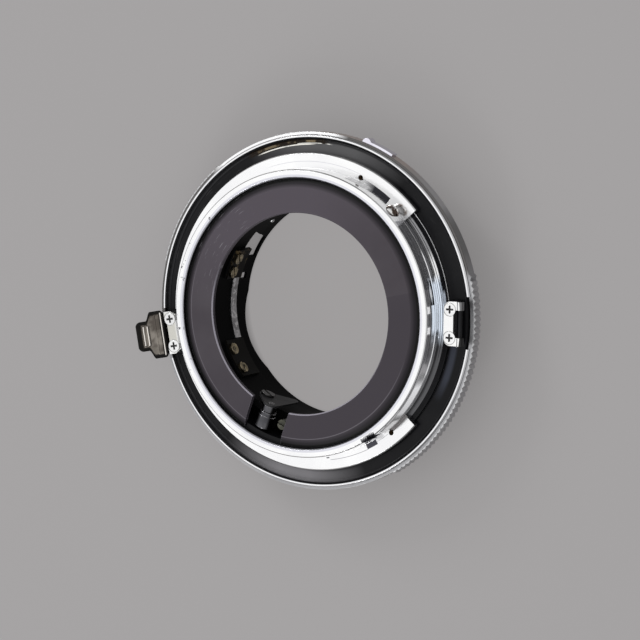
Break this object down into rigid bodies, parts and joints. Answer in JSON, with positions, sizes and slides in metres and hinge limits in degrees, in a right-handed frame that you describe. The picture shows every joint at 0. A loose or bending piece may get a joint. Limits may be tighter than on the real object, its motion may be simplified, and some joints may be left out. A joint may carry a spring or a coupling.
{
  "type": "lens mount adapter",
  "caption": "Lens mount adapter: a bayonet tube and flange on a rimmed base ring, with a baffle, an inner lens sleeve, a diaphragm lever, a knurled grip ring and hinged side clips.",
  "frame": {"origin": "on the optical axis, in the plane of the sleeve's lens-side end", "axes": "+Z along the optical axis towards the camera, +X towards the side with the empty clip, +Y square to both"},
  "size_m": [0.094, 0.0892, 0.022],
  "materials": {
    "chrome": "bright plated",
    "rim_chrome": "bright plated",
    "black_enamel": "gloss enamel",
    "black_anodise": "satin black anodised",
    "baffle_grey": "matt dark grey",
    "grip_grey": "satin, worn",
    "aged_brass": "aged",
    "steel": "polished spring steel",
    "gunmetal": "blackened, edges dark"
  },
  "bodies": {
    "mount": {"base_ring": "rim_chrome", "snap_ring": "steel", "face_ring": "black_enamel", "bayonet_tube": "chrome", "bayonet_stud": "chrome", "tube_screws": "steel", "baffle_plate": "baffle_grey", "lens_sleeve": "black_anodise", "sleeve_screws": "steel", "leaf_spring": "steel", "spring_clamp_upper": "black_anodise", "spring_clamp_lower": "black_anodise", "clamp_screws": "aged_brass", "lens_stop_pin": "steel", "lever_pivot_screw": "aged_brass", "lever_stop": "aged_brass", "lever_spring": "steel", "left_hinge_block": "black_anodise", "right_hinge_block": "black_anodise", "left_hinge_plate": "chrome", "right_hinge_plate": "chrome", "left_hinge_pin": "steel", "right_hinge_pin": "steel", "left_hinge_screws": "chrome", "right_hinge_screws": "chrome"},
    "grip": {"grip_ring": "grip_grey", "grip_stop_screw": "steel", "index_lug": "chrome"},
    "tab": {"left_tab": "gunmetal"},
    "lever": {"lever_arm": "black_anodise", "roller_pin": "steel"},
    "roller": {"lever_roller": "steel"}
  },
  "joints": [
    {"name": "grip_turn", "type": "hinge", "parent": "mount", "child": "grip", "pos_m": [0, 0, 0.013], "axis": [0, 0, 1], "range_deg": [0, 38]},
    {"name": "tab_fold", "type": "hinge", "parent": "mount", "child": "tab", "pos_m": [-0.04247, 0.00148, 0.01765], "axis": [-0.0349, -0.9994, 0], "range_deg": [0, 60]},
    {"name": "lever_swing", "type": "hinge", "parent": "mount", "child": "lever", "pos_m": [-0.01705, -0.01866, 0.0157], "axis": [0.5592, 0.829, 0], "range_deg": [0, 15], "stiffness_Nm_per_rad": 0.0005, "springref_deg": -28.65, "deforming": ["lever_spring"]},
    {"name": "roller_spin", "type": "hinge", "parent": "lever", "child": "roller", "pos_m": [-0.01622, -0.02404, 0.0197], "axis": [-0.5592, -0.829, 0], "continuous": true}
  ]
}
